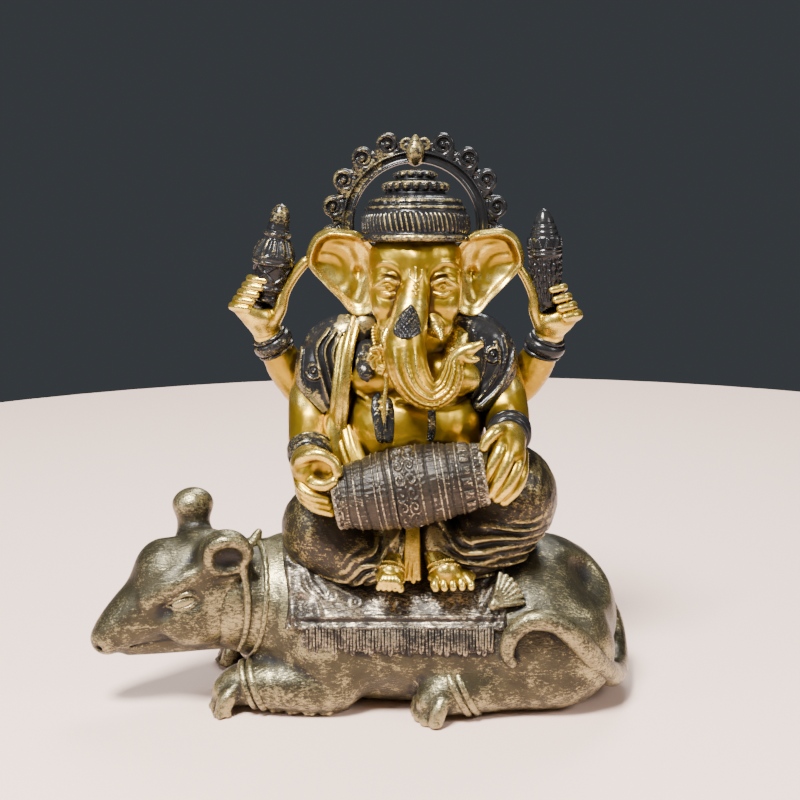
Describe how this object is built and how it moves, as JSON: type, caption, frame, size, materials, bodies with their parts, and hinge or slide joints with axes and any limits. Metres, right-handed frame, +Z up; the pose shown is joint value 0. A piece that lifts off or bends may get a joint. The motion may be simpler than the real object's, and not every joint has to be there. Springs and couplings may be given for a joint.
{
  "type": "ganesha idol",
  "caption": "Small cast resin idol of a seated elephant-headed deity with four arms playing a barrel drum, riding a resting mouse; stands free on a shelf.",
  "frame": {"origin": "middle of the bounding box in plan, at the height of the table it stands on", "axes": "+X to the viewer's right (the mouse's tail end), +Y away from the viewer, +Z up; the idol faces -Y"},
  "size_m": [0.0804, 0.0366, 0.0836],
  "materials": {
    "gold_paint": "satin gold paint on cast resin, darker amber wash in the hollows",
    "black_gold": "gloss black paint, dry-brushed with gold on the raised edges",
    "silver_gold": "black ground, streaked with silver and warm gold",
    "antique_bronze": "dull bronze paint over dark resin, rubbed brighter on the high places"
  },
  "bodies": {
    "root": {"mouse_body": "antique_bronze", "mouse_head": "antique_bronze", "mouse_ear_near": "antique_bronze", "mouse_ear_far": "antique_bronze", "mouse_eyes": "antique_bronze", "mouse_neck_cord": "antique_bronze", "mouse_fore_leg_near": "antique_bronze", "mouse_fore_leg_far": "antique_bronze", "mouse_hind_leg_near": "antique_bronze", "mouse_hind_leg_far": "antique_bronze", "mouse_anklets": "antique_bronze", "mouse_tail": "antique_bronze", "saddle_cloth": "silver_gold", "saddle_fringe": "silver_gold", "right_leg": "black_gold", "left_leg": "black_gold", "right_foot": "gold_paint", "left_foot": "gold_paint", "foot_anklets": "gold_paint", "torso": "gold_paint", "waist_sash": "silver_gold", "right_front_arm": "gold_paint", "left_front_arm": "gold_paint", "right_front_hand": "gold_paint", "left_front_hand": "gold_paint", "front_bracelets": "black_gold", "right_rear_arm": "gold_paint", "left_rear_arm": "gold_paint", "right_rear_hand": "gold_paint", "left_rear_hand": "gold_paint", "rear_bracelets": "black_gold", "ritual_vase": "black_gold", "mace": "black_gold", "head": "gold_paint", "trunk": "gold_paint", "tusks": "gold_paint", "right_ear": "gold_paint", "left_ear": "gold_paint", "forehead_mark": "gold_paint", "trunk_plaque": "black_gold", "right_shawl": "black_gold", "left_shawl": "black_gold", "necklace": "gold_paint", "belly_pendants": "black_gold", "flower_brooch": "gold_paint", "crown": "black_gold", "halo_ring": "black_gold", "halo_scrolls": "black_gold", "halo_finial": "black_gold", "drum_shell": "silver_gold", "drum_skins": "silver_gold", "drum_hoops": "silver_gold"}
  },
  "joints": []
}
